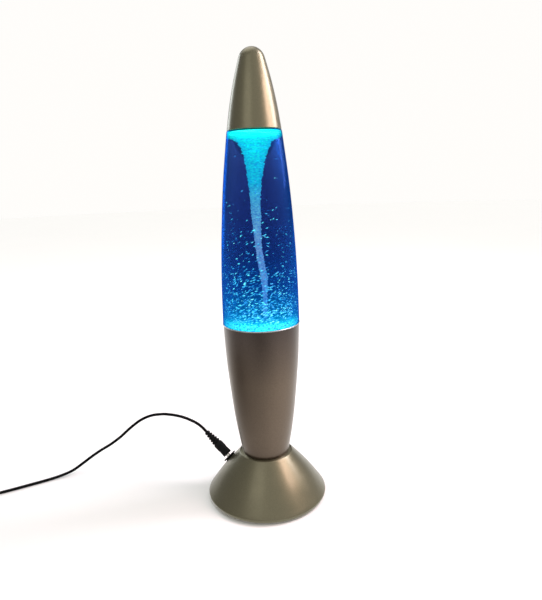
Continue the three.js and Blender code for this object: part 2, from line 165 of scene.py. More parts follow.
def smooth_line(points, steps):
    """Points at even steps along one curve through all the given ones."""
    last = len(points) - 1
    line = []
    for step in range(steps + 1):
        place = step / steps * last
        i = min(int(place), last - 1)
        t = place - i
        a, b, c, d = (Vector(points[min(max(k, 0), last)]) for k in range(i - 1, i + 3))
        bend = (c - a) * t + (2 * a - 5 * b + 4 * c - d) * t**2 + (3 * b - a - 3 * c + d) * t**3
        line.append(b + bend / 2)
    return line


def evenly(line, gap):
    """The same line with its points about that far apart."""
    lengths = [0.0]
    for a, b in zip(line, line[1:]):
        lengths.append(lengths[-1] + (b - a).length)
    count = round(lengths[-1] / gap)
    result = []
    i = 0
    for step in range(count + 1):
        want = lengths[-1] * step / count
        while i < len(line) - 2 and lengths[i + 1] < want:
            i += 1
        share = (want - lengths[i]) / (lengths[i + 1] - lengths[i])
        result.append(line[i].lerp(line[i + 1], share))
    return result


def eased(outline, size):
    """The outline with each sharp corner rounded over about that size."""
    closed = outline[0][0] > 0
    count = len(outline)
    result = []
    for i, corner in enumerate(outline):
        here = Vector(corner)
        back = Vector(outline[i - 1]) - here
        ahead = Vector(outline[(i + 1) % count]) - here
        at_axis = not closed and i in (0, count - 1)
        if at_axis or back.angle(ahead, math.pi) > math.radians(160):
            result.append(here)
            continue
        start = here + back.normalized() * min(size, 0.45 * back.length)
        end = here + ahead.normalized() * min(size, 0.45 * ahead.length)
        for t in (0, 0.25, 0.5, 0.75, 1):
            result.append(start * (1 - t) ** 2 + here * 2 * t * (1 - t) + end * t**2)
    return result


def arc(radius, height, size, start, end, steps):
    """Points on an arc round (radius, height), by degrees from outwards towards up."""
    angles = [math.radians(start + (end - start) * i / steps) for i in range(steps + 1)]
    return [(radius + size * math.cos(a), height + size * math.sin(a)) for a in angles]


def side(radii, low, high, steps, inset=0.0):
    """A smooth side through radii given at even steps of height."""
    rise = (high - low) / (len(radii) - 1)
    return smooth_line([(r - inset, low + rise * i) for i, r in enumerate(radii)], steps)


def add_mesh(name, vertices, faces, finish, sharp=35):
    """A smooth-shaded object whose edges stay sharp above that many degrees."""
    mesh = bpy.data.meshes.new(name)
    mesh.from_pydata(vertices, [], faces)
    mesh.materials.append(finish)
    mesh.shade_smooth()
    mesh.set_sharp_from_angle(angle=math.radians(sharp))
    thing = bpy.data.objects.new(name, mesh)
    bpy.context.scene.collection.objects.link(thing)
    return thing


def skin_rings(rings, closed):
    """Faces between rings of vertex numbers. A ring that is one repeated number makes triangles."""
    pairs = list(zip(rings, rings[1:]))
    if closed:
        pairs.append((rings[-1], rings[0]))
    faces = []
    for low, high in pairs:
        for i in range(len(low)):
            j = (i + 1) % len(low)
            corners = list(dict.fromkeys((low[i], low[j], high[j], high[i])))
            if len(corners) > 2:
                faces.append(corners)
    return faces


def turned(name, outline, finish, steps=144, place=None, sharp=35):
    """Turns an outline of (radius, height) about Z: out along the bottom, up the outside, back in."""
    vertices = []
    rings = []
    for radius, height in outline:
        start = len(vertices)
        if radius <= 0:
            vertices.append(Vector((0, 0, height)))
            rings.append([start] * steps)
            continue
        for i in range(steps):
            angle = 2 * math.pi * i / steps
            vertices.append(Vector((radius * math.cos(angle), radius * math.sin(angle), height)))
        rings.append(list(range(start, start + steps)))
    if place:
        vertices = [place @ v for v in vertices]
    return add_mesh(name, vertices, skin_rings(rings, outline[0][0] > 0), finish, sharp)


def tube(name, line, radius, finish, sides=12):
    """A round tube along a line, closed at both ends."""
    vertices = []
    rings = []
    across = (line[1] - line[0]).orthogonal().normalized()
    for i, centre in enumerate(line):
        along = (line[min(i + 1, len(line) - 1)] - line[max(i - 1, 0)]).normalized()
        across = (across - along * across.dot(along)).normalized()
        other = along.cross(across)
        rings.append(list(range(len(vertices), len(vertices) + sides)))
        for k in range(sides):
            angle = 2 * math.pi * k / sides
            vertices.append(centre + radius * (across * math.cos(angle) + other * math.sin(angle)))
    faces = skin_rings(rings, False) + [rings[0][::-1], rings[-1]]
    return add_mesh(name, vertices, faces, finish, 50)


def box_mesh(name, size, place, finish, bevel=0.0):
    """A box of that size round the place, with rounded edges where bevel is given."""
    x, y, z = (s / 2 for s in size)
    corners = [(i * x, j * y, k * z) for i in (-1, 1) for j in (-1, 1) for k in (-1, 1)]
    faces = [(0, 1, 3, 2), (4, 6, 7, 5), (0, 4, 5, 1), (2, 3, 7, 6), (0, 2, 6, 4), (1, 5, 7, 3)]
    thing = add_mesh(name, [place + Vector(c) for c in corners], faces, finish)
    if bevel:
        round_edges(thing, bevel)
    return thing


def round_edges(thing, width, angle=30):
    """Bevels the edges that bend more than the angle, in degrees."""
    modifier = thing.modifiers.new("rounded", "BEVEL")
    modifier.width = width
    modifier.segments = 3
    modifier.limit_method = "ANGLE"
    modifier.angle_limit = math.radians(angle)
    modifier.harden_normals = True


def cut(thing, tools):
    """Takes the tools out of a piece, and removes them."""
    for tool in tools:
        modifier = thing.modifiers.new("cut", "BOOLEAN")
        modifier.object = tool
        modifier.solver = "EXACT"
    graph = bpy.context.evaluated_depsgraph_get()
    mesh = bpy.data.meshes.new_from_object(thing.evaluated_get(graph))
    thing.modifiers.clear()
    thing.data = mesh
    mesh.shade_smooth()
    mesh.set_sharp_from_angle(angle=math.radians(35))
    for tool in tools:
        bpy.data.objects.remove(tool)


def fit(thing, body, slot, *nodes):
    """Puts a finished piece in place of its CAD nodes."""
    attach(thing, body)
    if nodes:
        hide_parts(*nodes)
    return thing


class Finish:
    """A material built on one Principled shader, with its patterns in the object's own metres."""

    def __init__(self, name, color, roughness, metallic=0.0, **settings):
        self.material = bpy.data.materials.new(name)
        self.material.use_nodes = True
        self.tree = self.material.node_tree
        self.shader = self.tree.nodes["Principled BSDF"]
        self.shader.inputs["Base Color"].default_value = (*color, 1)
        self.shader.inputs["Roughness"].default_value = roughness
        self.shader.inputs["Metallic"].default_value = metallic
        for socket, value in settings.items():
            self.shader.inputs[socket.replace("_", " ")].default_value = value
        self.place = self.tree.nodes.new("ShaderNodeTexCoord").outputs["Object"]

    def node(self, kind, values=None, **links):
        made = self.tree.nodes.new(kind)
        for socket, value in (values or {}).items():
            made.inputs[socket].default_value = value
        for socket, source in links.items():
            self.tree.links.new(source, made.inputs[socket.replace("_", " ")])
        return made

    def noise(self, scale, detail=2.0, stretch=(1, 1, 1)):
        place = self.node("ShaderNodeMapping", {"Scale": stretch}, Vector=self.place).outputs["Vector"]
        texture = self.node("ShaderNodeTexNoise", {"Scale": scale, "Detail": detail}, Vector=place)
        return texture.outputs["Fac"]

    def cells(self, scale, stretch=(1, 1, 1)):
        place = self.node("ShaderNodeMapping", {"Scale": stretch}, Vector=self.place).outputs["Vector"]
        return self.node("ShaderNodeTexVoronoi", {"Scale": scale}, Vector=place)

    def ramp(self, source, *stops):
        made = self.node("ShaderNodeValToRGB", Fac=source)
        points = made.color_ramp.elements
        while len(points) < len(stops):
            points.new(0.5)
        for point, (position, color) in zip(points, stops):
            point.position = position
            point.color = (*color, 1)
        return made.outputs["Color"]

    def times(self, a, b):
        made = self.tree.nodes.new("ShaderNodeMix")
        made.data_type = "RGBA"
        made.blend_type = "MULTIPLY"
        made.inputs["Factor"].default_value = 1
        ends = [socket for socket in made.inputs if socket.type == "RGBA"]
        self.tree.links.new(a, ends[0])
        self.tree.links.new(b, ends[1])
        return next(socket for socket in made.outputs if socket.type == "RGBA")

    def span(self, source, low, high, to_low, to_high):
        made = self.node("ShaderNodeMapRange", Value=source)
        made.inputs["From Min"].default_value = low
        made.inputs["From Max"].default_value = high
        made.inputs["To Min"].default_value = to_low
        made.inputs["To Max"].default_value = to_high
        return made.outputs["Result"]

    def colour(self, source, *stops):
        self.tree.links.new(self.ramp(source, *stops), self.shader.inputs["Base Color"])
        return self

    def rough(self, source, low, high):
        self.tree.links.new(self.span(source, 0.3, 0.7, low, high), self.shader.inputs["Roughness"])
        return self

    def bump(self, source, strength, distance):
        made = self.node("ShaderNodeBump", {"Strength": strength, "Distance": distance}, Height=source)
        self.tree.links.new(made.outputs["Normal"], self.shader.inputs["Normal"])
        return self

    def height(self, low, high):
        """How far up between two heights a point is, from 0 to 1."""
        split = self.node("ShaderNodeSeparateXYZ", Vector=self.place)
        return self.span(split.outputs["Z"], low, high, 0, 1)


def metallic_paint(name, dark, light, roughness, painted_shade=None):
    """Champagne paint with fine metal flake under a thin satin coat. The optional (low, high, shade) is
    painted shade: the paint darkens to that shade of itself between the two heights."""
    paint = Finish(name, light, roughness, 0.9, Coat_Weight=0.4, Coat_Roughness=0.22)
    flake = paint.ramp(paint.noise(2600, 1), (0.35, dark), (0.65, light))
    if painted_shade:
        # Painted shade: the paint darkens between the two heights.
        low, high, shade = painted_shade
        top_shade = paint.ramp(paint.height(low, high), (0.0, (1, 1, 1)), (1.0, shade))
        flake = paint.times(flake, top_shade)
    paint.tree.links.new(flake, paint.shader.inputs["Base Color"])
    paint.rough(paint.noise(90, 3), roughness - 0.03, roughness + 0.04)
    paint.bump(paint.noise(3200, 2), 0.12, 0.00004)
    return paint.material


def moulded(name, dark, light, roughness, grain, depth, shine=0.5):
    """Moulded plastic or rubber with a fine grain."""
    made = Finish(name, light, roughness, Specular_IOR_Level=shine)
    made.colour(made.noise(260, 3), (0.3, dark), (0.7, light))
    made.rough(made.noise(140, 2), roughness - 0.06, roughness + 0.08)
    made.bump(made.noise(grain, 3), 0.4, depth)
    return made.material


def bare_metal(name, dark, light, roughness, stretch):
    """Metal with fine machining lines along the direction that stretch leaves long."""
    made = Finish(name, light, roughness, 1.0)
    lines = made.noise(900, 3, stretch)
    made.colour(lines, (0.3, dark), (0.7, light))
    made.rough(lines, roughness - 0.06, roughness + 0.1)
    made.bump(lines, 0.15, 0.00003)
    return made.material


def glowing(name, colour_source, base, strength):
    """A finish that shines by a pattern. It isn't sampled as a lamp, so that the inside stays calm."""
    made = Finish(name, base, 0.25)
    made.tree.links.new(colour_source(made), made.shader.inputs["Emission Color"])
    made.shader.inputs["Emission Strength"].default_value = strength
    made.material.cycles.emission_sampling = "NONE"
    return made.material


champagne = metallic_paint("champagne_paint", (0.118, 0.107, 0.064), (0.158, 0.144, 0.088), 0.34)
# The body's copy of the paint is browner, with painted shade that darkens it towards the casing's top.
champagne_body_shaded = metallic_paint(
    "champagne_paint_body_shaded",
    (0.116, 0.084, 0.059),
    (0.152, 0.112, 0.08),
    0.34,
    painted_shade=(0.125, 0.178, (0.42, 0.42, 0.52)),
)
NEAR_BLACK = (0.003, 0.003, 0.0036)
SOOT = (0.008, 0.008, 0.009)
black_plastic = moulded("black_plastic", NEAR_BLACK, SOOT, 0.4, 2400, 0.00004, shine=0.07)
black_rubber = moulded("black_rubber", NEAR_BLACK, SOOT, 0.62, 1800, 0.00006, shine=0.12)
cord_rubber = moulded("cord_rubber", NEAR_BLACK, SOOT, 0.5, 1500, 0.00003, shine=0.03)
white_plastic = moulded("white_plastic", (0.66, 0.66, 0.63), (0.76, 0.76, 0.73), 0.42, 2000, 0.00003)
steel = bare_metal("steel", (0.3, 0.31, 0.32), (0.52, 0.53, 0.54), 0.3, (1, 1, 6))
nickel = bare_metal("nickel", (0.55, 0.53, 0.5), (0.75, 0.73, 0.69), 0.16, (1, 1, 8))
brass = bare_metal("brass", (0.42, 0.28, 0.1), (0.66, 0.47, 0.2), 0.22, (1, 1, 8))


def board_finish():
    """Green board lacquer with lighter tracks under it and a weave in the laminate."""
    made = Finish("green_board", (0.02, 0.12, 0.05), 0.3, Coat_Weight=0.5)
    tracks = made.cells(420).outputs["Distance"]
    made.colour(tracks, (0.0, (0.03, 0.2, 0.08)), (0.3, (0.015, 0.1, 0.04)), (0.9, (0.01, 0.07, 0.03)))
    made.bump(tracks, 0.3, 0.0001)
    return made.material


def clear_finish():
    """Clear bottle wall: it lets everything through, and mirrors more the flatter it is seen."""
    made = Finish("clear_bottle", (0.8, 0.9, 1.0), 0.03)
    through = made.node("ShaderNodeBsdfTransparent", {"Color": (0.985, 0.993, 1, 1)})
    scratches = made.noise(70, 4, (1, 1, 0.3))
    gloss = made.node("ShaderNodeBsdfGlossy", {"Color": (0.005, 0.08, 0.45, 1)})
    made.tree.links.new(made.span(scratches, 0.3, 0.7, 0.22, 0.3), gloss.inputs["Roughness"])
    facing = made.node("ShaderNodeLayerWeight", {"Blend": 0.5}).outputs["Facing"]
    mirror = made.node("ShaderNodeMath", {1: 2.2})
    mirror.operation = "POWER"
    made.tree.links.new(facing, mirror.inputs[0])
    both = made.node("ShaderNodeMixShader", Fac=mirror.outputs["Value"])
    made.tree.links.new(through.outputs["BSDF"], both.inputs[1])
    made.tree.links.new(gloss.outputs["BSDF"], both.inputs[2])
    made.tree.links.new(both.outputs["Shader"], made.tree.nodes["Material Output"].inputs["Surface"])
    return made.material


def liquid_finish():
    """Blue liquid: it bends what is seen through it, darkens with depth, and has a painted glow by
    height.
    """
    made = Finish("blue_liquid", (0.9, 0.95, 1.0), 0.0)
    output = made.tree.nodes["Material Output"]
    depth = made.node("ShaderNodeVolumeAbsorption", {"Color": (0.08, 0.26, 0.58, 1), "Density": 105})
    made.tree.links.new(depth.outputs["Volume"], output.inputs["Volume"])
    bend = made.node("ShaderNodeBsdfRefraction", {"Color": (1, 1, 1, 1), "Roughness": 0, "IOR": 1.33})
    # Painted glow: the LEDs' light in the liquid, brightest near the bottom.
    painted_glow = made.ramp(
        made.height(CASING_TOP, SURFACE),
        (0.0, (0.0, 0.24, 0.42)),
        (0.1, (0.0, 0.12, 0.3)),
        (0.22, (0.0, 0.035, 0.16)),
        (0.4, (0.002, 0.014, 0.075)),
        (0.6, (0.004, 0.01, 0.05)),
        (0.85, (0.005, 0.01, 0.045)),
        (1.0, (0.003, 0.02, 0.08)),
    )
    light = made.node("ShaderNodeEmission", Color=painted_glow)
    both = made.node("ShaderNodeAddShader")
    made.tree.links.new(bend.outputs["BSDF"], both.inputs[0])
    made.tree.links.new(light.outputs["Emission"], both.inputs[1])
    made.tree.links.new(both.outputs["Shader"], output.inputs["Surface"])
    made.material.cycles.emission_sampling = "NONE"
    return made.material


def vortex_light(made):
    """Painted glow of the funnel, in place of the LEDs' light it catches: cyan at the top, paler down
    the column, with ripples across it.
    """
    up = made.height(*VORTEX_LIT)
    base = made.ramp(
        up,
        (0.0, (0.45, 1.0, 0.7)),
        (0.4, (0.8, 1.0, 0.62)),
        (0.62, (0.32, 0.95, 0.56)),
        (0.75, (0.01, 0.95, 0.55)),
        (0.9, (0.0, 0.9, 0.48)),
        (0.98, (0.0, 0.6, 0.36)),
    )
    ripple = made.ramp(made.noise(620, 4, (1, 1, 2.4)), (0.36, (0.3, 0.42, 0.7)), (0.6, (1, 1, 1)))
    return made.times(base, ripple)


def flake_light(made):
    """Painted glow in place of the LEDs' light caught by the flakes: each flake has its own brightness,
    from dim blue to cyan white.
    """
    chance = made.cells(330).outputs["Color"]
    return made.ramp(
        chance,
        (0.2, (0.01, 0.2, 0.36)),
        (0.45, (0.03, 0.55, 0.6)),
        (0.75, (0.12, 0.9, 0.75)),
        (0.95, (0.3, 1.0, 0.7)),
    )


def bed_light(made):
    """Painted glow of swarming flakes too close together to tell apart, in place of the LEDs' light:
    azure grains with cyan between.
    """
    grains = made.noise(560, 4, (1, 1, 1.6))
    return made.ramp(
        grains,
        (0.38, (0.0, 0.05, 0.35)),
        (0.44, (0.0, 0.5, 0.7)),
        (0.51, (0.01, 0.9, 0.75)),
        (0.66, (0.1, 1.0, 0.7)),
    )


def lens_light(made):
    """Slightly uneven pale blue."""
    return made.ramp(made.noise(900, 2), (0.3, (0.1, 0.45, 1.0)), (0.7, (0.35, 0.75, 1.0)))


green_board = board_finish()
clear_bottle = clear_finish()
blue_liquid = liquid_finish()
# Painted glow: funnel, flakes and heap shine by themselves in place of the LEDs' light that they catch.
vortex_glow = glowing("vortex_glow", vortex_light, (0.05, 0.3, 0.6), 3.4)
flake_glow = glowing("flake_glow", flake_light, (0.2, 0.5, 0.8), 1.8)
bed_glow = glowing("bed_glow", bed_light, (0.02, 0.3, 0.6), 1.0)
led_lens = glowing("led_lens", lens_light, (0.6, 0.8, 1.0), 2.0)

# Camera and lights.
CAMERA_PLACE = Vector((0, -0.4664, 0.3012))
CAMERA_TILT = math.radians(90 - 18.4)
CAMERA_ROLL = math.radians(-2.13)
camera_data = bpy.data.cameras.new("camera")
camera_data.lens = 31.6
camera_data.sensor_width = 36
camera_data.shift_x = 0.0143
camera_data.shift_y = 0.091
camera = bpy.data.objects.new("camera", camera_data)
turn = Matrix.Rotation(CAMERA_TILT, 4, "X") @ Matrix.Rotation(CAMERA_ROLL, 4, "Z")
camera.matrix_world = Matrix.Translation(CAMERA_PLACE) @ turn
bpy.context.scene.collection.objects.link(camera)
bpy.context.scene.camera = camera
bpy.context.scene.view_settings.view_transform = "Standard"


def softbox(name, place, target, width, height, power, color):
    """A rectangular lamp at a place, turned towards the target."""
    light = bpy.data.lights.new(name, "AREA")
    light.shape = "RECTANGLE"
    light.size = width
    light.size_y = height
    light.energy = power
    light.color = color
    lamp = bpy.data.objects.new(name, light)
    lamp.location = place
    lamp.rotation_euler = (Vector(target) - Vector(place)).to_track_quat("-Z", "Y").to_euler()
    bpy.context.scene.collection.objects.link(lamp)


softbox("key_right", (0.8, 0.17, 0.86), (0, 0, 0.2), 0.34, 0.75, 10, (1.0, 0.89, 0.97))
softbox("front_right", (0.7, -0.2, 0.66), (0, 0, 0.05), 0.34, 0.3, 3, (1.0, 0.73, 0.7))
softbox("front_left", (-0.35, -0.65, 0.75), (0, 0, 0.3), 0.5, 0.5, 0.6, (1.0, 0.98, 0.94))
softbox("edge_left", (-0.6, 0.7, 0.5), (0, 0, 0.2), 0.3, 0.7, 2.2, (0.86, 0.93, 1.0))
softbox("overhead", (-0.2, 0.4, 1.3), (0, 0.1, 0), 0.9, 0.9, 3.5, (1.0, 0.97, 0.92))


def studio_sky():
    """Plain white to the camera. To all else it is dimmer behind the lamp and to its left."""
    world = bpy.data.worlds.new("studio")
    world.use_nodes = True
    bpy.context.scene.world = world
    tree = world.node_tree

    def span(source, low, high, to_low, to_high):
        made = tree.nodes.new("ShaderNodeMapRange")
        tree.links.new(source, made.inputs["Value"])
        made.inputs["From Min"].default_value = low
        made.inputs["From Max"].default_value = high
        made.inputs["To Min"].default_value = to_low
        made.inputs["To Max"].default_value = to_high
        return made.outputs["Result"]

    direction = tree.nodes.new("ShaderNodeTexCoord").outputs["Generated"]
    split = tree.nodes.new("ShaderNodeSeparateXYZ")
    tree.links.new(direction, split.inputs["Vector"])
    both = tree.nodes.new("ShaderNodeMath")
    both.operation = "MULTIPLY"
    tree.links.new(span(split.outputs["Y"], -0.7, 0.7, 0.95, 0.55), both.inputs[0])
    tree.links.new(span(split.outputs["X"], -0.9, 0.1, 0.6, 1.0), both.inputs[1])
    choice = tree.nodes.new("ShaderNodeMix")
    seen = tree.nodes.new("ShaderNodeLightPath").outputs["Is Camera Ray"]
    tree.links.new(seen, choice.inputs["Factor"])
    tree.links.new(both.outputs["Value"], choice.inputs["A"])
    choice.inputs["B"].default_value = 1.0
    backdrop = tree.nodes["Background"]
    backdrop.inputs["Color"].default_value = WARM_WHITE
    tree.links.new(choice.outputs["Result"], backdrop.inputs["Strength"])


studio_sky()


def floor_finish():
    """Pale floor: the far part is lit up to the backdrop, so that no horizon shows. Glossy rays see a
    painted reflection instead, dimmer to the left and far in front, as dark boards round a studio set
    would make it."""
    made = Finish("pale_floor", (0.8, 0.8, 0.79), 0.6)
    made.colour(made.noise(3, 2), (0.3, (0.88, 0.88, 0.87)), (0.7, (0.9, 0.9, 0.89)))

    def distance(centre):
        away = made.node("ShaderNodeVectorMath", {1: centre})
        away.operation = "DISTANCE"
        made.tree.links.new(made.place, away.inputs[0])
        return away.outputs["Value"]

    glow = made.span(distance((0, 0, 0)), 0.35, 1.3, 0, 0.4)
    made.tree.links.new(glow, made.shader.inputs["Emission Strength"])
    made.shader.inputs["Emission Color"].default_value = WARM_WHITE
    dim = []
    for centre, radius, share in DIM_SPOTS:
        dim.append(made.span(distance(centre), 0.1 * radius, radius, 1 - share, 1))
    both = made.node("ShaderNodeMath")
    both.operation = "MULTIPLY"
    made.tree.links.new(dim[0], both.inputs[0])
    made.tree.links.new(dim[1], both.inputs[1])
    # Painted reflection: glossy rays see this emission, dimmed round the spots, in place of the floor.
    painted_reflection = made.node("ShaderNodeEmission", {"Color": (1.0, 0.98, 0.95, 1)})
    made.tree.links.new(made.span(both.outputs["Value"], 0, 1, 0, 1.25), painted_reflection.inputs["Strength"])
    mirrored = made.node("ShaderNodeLightPath").outputs["Is Glossy Ray"]
    choice = made.node("ShaderNodeMixShader", Fac=mirrored)
    made.tree.links.new(made.shader.outputs["BSDF"], choice.inputs[1])
    made.tree.links.new(painted_reflection.outputs["Emission"], choice.inputs[2])
    made.tree.links.new(choice.outputs["Shader"], made.tree.nodes["Material Output"].inputs["Surface"])
    return made.material


floor = turned("floor", [(0, -0.004), (6, -0.004), (6, 0), (0, 0)], floor_finish(), 96)

# The cord comes first: its route, its two ends and its coil.
jack_out = Vector(
    (
        -math.cos(JACK_TURN) * math.cos(JACK_RISE),
        math.sin(JACK_TURN) * math.cos(JACK_RISE),
        math.sin(JACK_RISE),
    )
)
button_out = Vector((0, math.cos(BUTTON_RISE), math.sin(BUTTON_RISE)))


def socket_place(out, x, y):
    """The matrix of a socket's own frame: +Z along out, from the base's skin."""
    centre = Vector((SOCKET_RADIUS * x, SOCKET_RADIUS * y, SOCKET_HEIGHT))
    turn = Vector((0, 0, 1)).rotation_difference(out).to_matrix().to_4x4()
    return Matrix.Translation(centre) @ turn


jack_place = socket_place(jack_out, -math.cos(JACK_TURN), math.sin(JACK_TURN))
button_place = socket_place(button_out, 0, 1)


def coil_point(radius, angle, height):
    """A point at that height above the table, round the coil's centre."""
    x = COIL_CENTRE.x + radius * math.cos(angle)
    y = COIL_CENTRE.y + radius * math.sin(angle)
    return Vector((x, y, height))


def coil_line():
    """Round and in on the table, up one layer, and round and out on top of it."""
    per_turn = 36
    inner = COIL_OUTER - COIL_PITCH * COIL_TURNS
    line = []
    angle = COIL_START
    for i in range(COIL_TURNS * per_turn):
        line.append(coil_point(COIL_OUTER - COIL_PITCH * i / per_turn, angle, COIL_LOW))
        angle += 2 * math.pi / per_turn
    for i in range(per_turn):
        share = i / per_turn
        climb = math.sqrt(1 - (1 - share) ** 2)
        line.append(coil_point(inner, angle, COIL_LOW + (COIL_HIGH - COIL_LOW) * climb))
        angle += 2 * math.pi / per_turn
    last = math.pi - COIL_START + 2 * math.pi * COIL_TURNS
    steps = round(last / (2 * math.pi) * per_turn)
    for i in range(steps + 1):
        radius = inner + (COIL_OUTER + 0.0003 - inner) * i / steps
        line.append(coil_point(radius, angle + last * i / steps, COIL_HIGH))
    return line


def cord_line():
    """The cord's whole way: straight out of the plug, down to the table, the coil, the USB plug."""
    start = jack_place @ Vector((0, 0, PLUG_TAIL - 0.001))
    straight = jack_place @ Vector((0, 0, PLUG_TAIL + 0.006))
    free = smooth_line([start, straight, *(Vector(p) for p in CORD_ROUTE)], 480)
    end = [USB_BEND, USB_PLACE + Vector((0, -0.001, 0))]
    return evenly(free + coil_line() + end, CORD_STEP)


line = cord_line()
cord = tube("cord_skin", line, CORD_RADIUS, cord_rubber)
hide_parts("cord", "cord_coil")


def plug_grip():
    """Moulded grip with a soft waist and a ribbed strain relief that thins towards the cord."""
    start = PLUG_FACE + GRIP_LENGTH + 0.0002
    count = 5
    pitch = (PLUG_TAIL - 0.001 - start) / count
    ribs = []
    for i in range(count):
        radius = 0.0045 - 0.0004 * i
        low = start + i * pitch
        ribs += [(radius - 0.0008, low + 0.1 * pitch), (radius - 0.0008, low + 0.36 * pitch)]
        ribs += [(radius, low + 0.46 * pitch), (radius - 0.0001, low + 0.95 * pitch)]
    outline = [
        (0, PLUG_FACE + 0.004),
        (0.00305, PLUG_FACE + 0.004),
        (0.00305, PLUG_FACE),
        (GRIP_RADIUS - 0.0003, PLUG_FACE),
        (GRIP_RADIUS, PLUG_FACE + 0.0004),
        (GRIP_RADIUS - 0.0001, PLUG_FACE + 0.003),
        (GRIP_RADIUS - 0.0003, PLUG_FACE + 0.006),
        (GRIP_RADIUS, PLUG_FACE + 0.009),
        (GRIP_RADIUS, PLUG_FACE + GRIP_LENGTH - 0.001),
        (GRIP_RADIUS - 0.0005, PLUG_FACE + GRIP_LENGTH),
        *ribs,
        (0.0021, PLUG_TAIL),
        (0, PLUG_TAIL),
    ]
    return turned("plug_grip", eased(outline, 0.00025), black_rubber, 48, jack_place)


grip = fit(plug_grip(), "dc_plug", "cord_rubber", "dc_plug_grip")
barrel_outline = [
    (0.00135, -0.0076),
    (0.00245, -0.0076),
    (0.00275, -0.0073),
    (0.00275, -0.0005),
    (0.00262, -0.0003),
    (0.00262, 0.0003),
    (0.00275, 0.0005),
    (0.00275, PLUG_FACE + 0.0036),
    (0.00135, PLUG_FACE + 0.0036),
]
barrel = turned("plug_barrel", eased(barrel_outline, 0.0001), nickel, 48, jack_place)
fit(barrel, "dc_plug", "nickel", "dc_plug_barrel")


def usb_grip():
    """Flat moulded plug body, narrowing to the cord, with finger grooves on both faces."""
    levels = (-0.004, 0.004)
    half = [(0.0018, 0.0), (0.0032, -0.0005), (0.0066, -0.0045), (0.0074, -0.006), (0.0074, -0.023)]
    outline = half + [(-x, y) for x, y in reversed(half)]
    vertices = [USB_PLACE + Vector((x, y, z)) for z in levels for x, y in outline]
    count = len(outline)
    rings = [list(range(count)), list(range(count, 2 * count))]
    faces = [[a[0], a[1], a[2], a[3]] for a in skin_rings(rings, False)]
    faces = [f[::-1] for f in faces] + [rings[0], rings[1][::-1]]
    body = add_mesh("usb_grip", vertices, faces, black_rubber)
    grooves = []
    for i in range(4):
        for z in levels:
            place = USB_PLACE + Vector((0, -0.009 - 0.0025 * i, z))
            grooves.append(box_mesh("groove", (0.009, 0.001, 0.0007), place, black_rubber))
    cut(body, grooves)
    round_edges(body, 0.0008, 40)
    return body


fit(usb_grip(), "base", "cord_rubber", "usb_plug_grip")


def usb_shell():
    """Folded metal shell, open in front, with two latch windows and a tongue inside."""
    centre = USB_PLACE + Vector((0, -0.03255, 0))
    shell = box_mesh("usb_shell", (0.012, 0.0185, 0.0045), centre, nickel)
    front = centre + Vector((0, -0.003, 0))
    tools = [box_mesh("hollow", (0.0114, 0.0185, 0.0039), front, nickel)]
    for x in (-0.0029, 0.0029):
        for z in (-0.00225, 0.00225):
            window = centre + Vector((x, -0.002, z))
            tools.append(box_mesh("window", (0.0023, 0.0023, 0.001), window, nickel))
    cut(shell, tools)
    round_edges(shell, 0.00015, 50)
    tongue_place = centre + Vector((0, 0.0005, -0.0009))
    tongue = box_mesh("usb_tongue", (0.011, 0.0165, 0.0016), tongue_place, white_plastic, 0.0002)
    return shell, tongue


shell, tongue = usb_shell()
fit(shell, "base", "nickel", "usb_plug_shell")
fit(tongue, "base", "white_plastic")
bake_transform(cord)


# The metal outside: base, body and cap.
def base_skin():
    """Flared foot: a hollow cone with a rolled lower edge and holes for the jack and the switch."""
    flank = [tuple(p) for p in smooth_line(BASE_CONE + SHOULDER, 45)]
    outline = [
        (0.0544, 0.0015),
        (0.0566, 0.0015),
        (0.058, 0.0026),
        *flank,
        (PLINTH_HOLE, BASE_TOP),
        (PLINTH_HOLE, BASE_TOP - WALL),
        (0.0236, BASE_TOP - WALL),
        (0.0411, 0.026),
        (0.0542, 0.0084),
    ]
    skin = turned("base_skin", eased(outline, 0.0005), champagne, 192)
    holes = []
    for place in (jack_place, button_place):
        hole = [(0, -0.008), (SOCKET_BORE, -0.008), (SOCKET_BORE, 0.008), (0, 0.008)]
        holes.append(turned("hole", hole, champagne, 48, place))
    cut(skin, holes)
    return skin


def casing_skin():
    """Tapered cup under the bottle, with the inner ledge that carries the motor's bracket."""
    outside = side(CASING_RADII, BASE_TOP, CASING_TOP, 40)
    inside = side(CASING_RADII, BASE_TOP, CASING_TOP, 40, WALL)[::-1]
    ledge = BRACKET_BOTTOM
    above = [tuple(p) for p in inside if p.y > ledge + 0.001]
    below = [tuple(p) for p in inside if BASE_TOP + 0.004 < p.y < ledge - 0.007]
    outline = [
        (PLINTH_HOLE, BASE_TOP + 0.0002),
        (outside[0].x - 0.0004, BASE_TOP + 0.0002),
        (outside[0].x, BASE_TOP + 0.0006),
        *[tuple(p) for p in outside[1:]],
        *above,
        (0.0304, ledge),
        (0.0276, ledge),
        (0.0276, ledge - 0.002),
        (0.03, ledge - 0.006),
        *below,
        (0.0204, BASE_TOP + 0.0028),
        (PLINTH_HOLE, BASE_TOP + 0.0028),
    ]
    return turned("casing_skin", eased(outline, 0.0006), champagne_body_shaded, 192)


def casing_lip():
    """Bare rolled edge of the casing round the bottle's foot."""
    bead = arc(CASING_RADII[-1] - 0.0001, CASING_TOP - 0.0002, 0.0006, -180, 180, 16)[:-1]
    return turned("casing_lip", bead, steel, 192)


